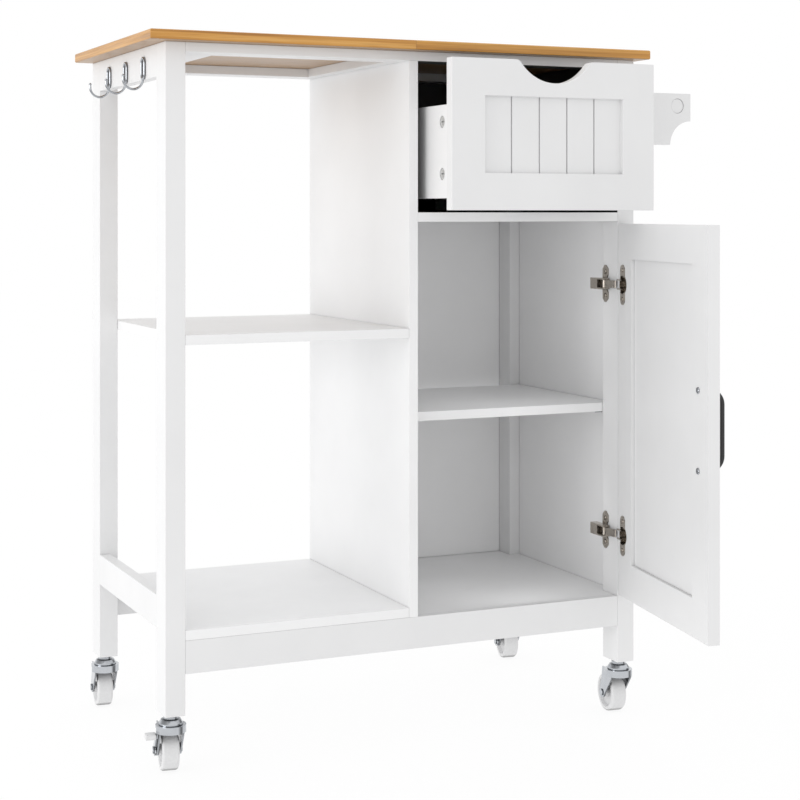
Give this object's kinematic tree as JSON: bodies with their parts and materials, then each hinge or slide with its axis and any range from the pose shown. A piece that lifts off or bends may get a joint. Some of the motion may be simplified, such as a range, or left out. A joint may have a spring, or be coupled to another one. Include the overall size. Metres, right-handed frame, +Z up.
{
  "type": "kitchen island cart",
  "caption": "Rolling kitchen island cart: wood top on a white frame, open shelves, drawer over a door cabinet, towel rod, wire hooks and swivel casters.",
  "frame": {"origin": "on the floor, below the centre of the box round the part as stored", "axes": "+X to the right along the width, -Y to the front where the drawer and the door open, +Z up"},
  "size_m": [0.7734, 0.6632, 0.892],
  "materials": {
    "white_paint": "satin white paint over solid wood and board",
    "white_board": "white faced hardboard",
    "oiled_wood": "clear lacquered strip wood, grain along X",
    "chrome": "bright plated steel",
    "nickel": "nickel plated pressed steel",
    "zinc": "dull cast zinc",
    "black_paint": "satin black",
    "white_nylon": "moulded, slightly glossy"
  },
  "bodies": {
    "cart": {"tabletop": "oiled_wood", "leg_front_left": "white_paint", "leg_front_right": "white_paint", "leg_rear_left": "white_paint", "leg_rear_right": "white_paint", "rail_top_front": "white_paint", "rail_top_rear": "white_paint", "rail_top_cross": "white_paint", "rail_top_cross_left": "white_paint", "rail_top_left": "white_paint", "rail_low_left": "white_paint", "rail_low_front": "white_paint", "rail_low_rear": "white_paint", "shelf_low_left": "white_paint", "shelf_mid_left": "white_paint", "cabinet_floor": "white_paint", "divider": "white_paint", "side_panel": "white_paint", "back_panel": "white_board", "drawer_deck": "white_paint", "cabinet_shelf": "white_paint", "shelf_pins": "chrome", "drawer_guide": "black_paint", "towel_brackets": "white_paint", "towel_rod": "white_paint", "hooks": "chrome", "hinge_plates": "nickel", "hinge_arms": "nickel", "hinge_plate_screws": "chrome", "caster_stems": "chrome"},
    "drawer": {"drawer_front": "white_paint", "drawer_side_left": "white_paint", "drawer_side_right": "white_paint", "drawer_back": "white_paint", "drawer_bottom": "white_board", "cam_locks": "zinc", "drawer_runner": "white_paint"},
    "door": {"door_frame": "white_paint", "door_panel": "white_paint", "pull_handle": "black_paint", "pull_screws": "chrome", "hinge_cups": "nickel", "hinge_cup_screws": "chrome"},
    "hinge_link_pair": {"hinge_links": "nickel"},
    "swivel_front_left": {"fork_front_left": "chrome", "axle_front_left": "chrome"},
    "roller_front_left": {"wheel_front_left": "white_nylon"},
    "brake_front_left": {"brake_lever_front_left": "chrome", "brake_pedal_front_left": "white_nylon"},
    "swivel_front_right": {"fork_front_right": "chrome", "axle_front_right": "chrome"},
    "roller_front_right": {"wheel_front_right": "white_nylon"},
    "swivel_rear_left": {"fork_rear_left": "chrome", "axle_rear_left": "chrome"},
    "roller_rear_left": {"wheel_rear_left": "white_nylon"},
    "swivel_rear_right": {"fork_rear_right": "chrome", "axle_rear_right": "chrome"},
    "roller_rear_right": {"wheel_rear_right": "white_nylon"},
    "brake_rear_right": {"brake_lever_rear_right": "chrome", "brake_pedal_rear_right": "white_nylon"}
  },
  "joints": [
    {"name": "drawer_slide", "type": "slide", "parent": "cart", "child": "drawer", "axis": [0, -1, 0], "range_m": [-0.0934, 0.13]},
    {"name": "door_hinge", "type": "hinge", "parent": "cart", "child": "door", "pos_m": [0.2757, -0.03511, 0.4], "axis": [0, 0, 1], "range_deg": [-80, 10]},
    {"name": "hinge_link_turn", "type": "hinge", "parent": "cart", "child": "hinge_link_pair", "pos_m": [0.2587, -0.01991, 0.4], "axis": [0, 0, 1], "range_deg": [-73, 10]},
    {"name": "swivel_turn_front_left", "type": "hinge", "parent": "cart", "child": "swivel_front_left", "pos_m": [-0.3458, -0.02241, 0.06], "axis": [0, 0, 1], "continuous": true},
    {"name": "wheel_spin_front_left", "type": "hinge", "parent": "swivel_front_left", "child": "roller_front_left", "pos_m": [-0.34281, -0.00264, 0.025], "axis": [0.9888, -0.1495, 0], "continuous": true},
    {"name": "brake_turn_front_left", "type": "hinge", "parent": "swivel_front_left", "child": "brake_front_left", "pos_m": [-0.34281, -0.00264, 0.025], "axis": [0.9888, -0.1495, 0], "range_deg": [0, 15]},
    {"name": "swivel_turn_front_right", "type": "hinge", "parent": "cart", "child": "swivel_front_right", "pos_m": [0.2792, -0.02241, 0.06], "axis": [0, 0, 1], "continuous": true},
    {"name": "wheel_spin_front_right", "type": "hinge", "parent": "swivel_front_right", "child": "roller_front_right", "pos_m": [0.28115, -0.0025, 0.025], "axis": [0.9952, -0.0976, 0], "continuous": true},
    {"name": "swivel_turn_rear_left", "type": "hinge", "parent": "cart", "child": "swivel_rear_left", "pos_m": [-0.3458, 0.28609, 0.06], "axis": [0, 0, 1], "continuous": true},
    {"name": "wheel_spin_rear_left", "type": "hinge", "parent": "swivel_rear_left", "child": "roller_rear_left", "pos_m": [-0.34395, 0.30601, 0.025], "axis": [0.9957, -0.0924, 0], "continuous": true},
    {"name": "swivel_turn_rear_right", "type": "hinge", "parent": "cart", "child": "swivel_rear_right", "pos_m": [0.2792, 0.28609, 0.06], "axis": [0, 0, 1], "continuous": true},
    {"name": "wheel_spin_rear_right", "type": "hinge", "parent": "swivel_rear_right", "child": "roller_rear_right", "pos_m": [0.28243, 0.30583, 0.025], "axis": [0.9869, -0.1616, 0], "continuous": true},
    {"name": "brake_turn_rear_right", "type": "hinge", "parent": "swivel_rear_right", "child": "brake_rear_right", "pos_m": [0.28243, 0.30583, 0.025], "axis": [0.9869, -0.1616, 0], "range_deg": [0, 15]}
  ],
  "couplings": [
    {"joint": "hinge_link_turn", "follows": "door_hinge", "ratio": 0.9}
  ]
}
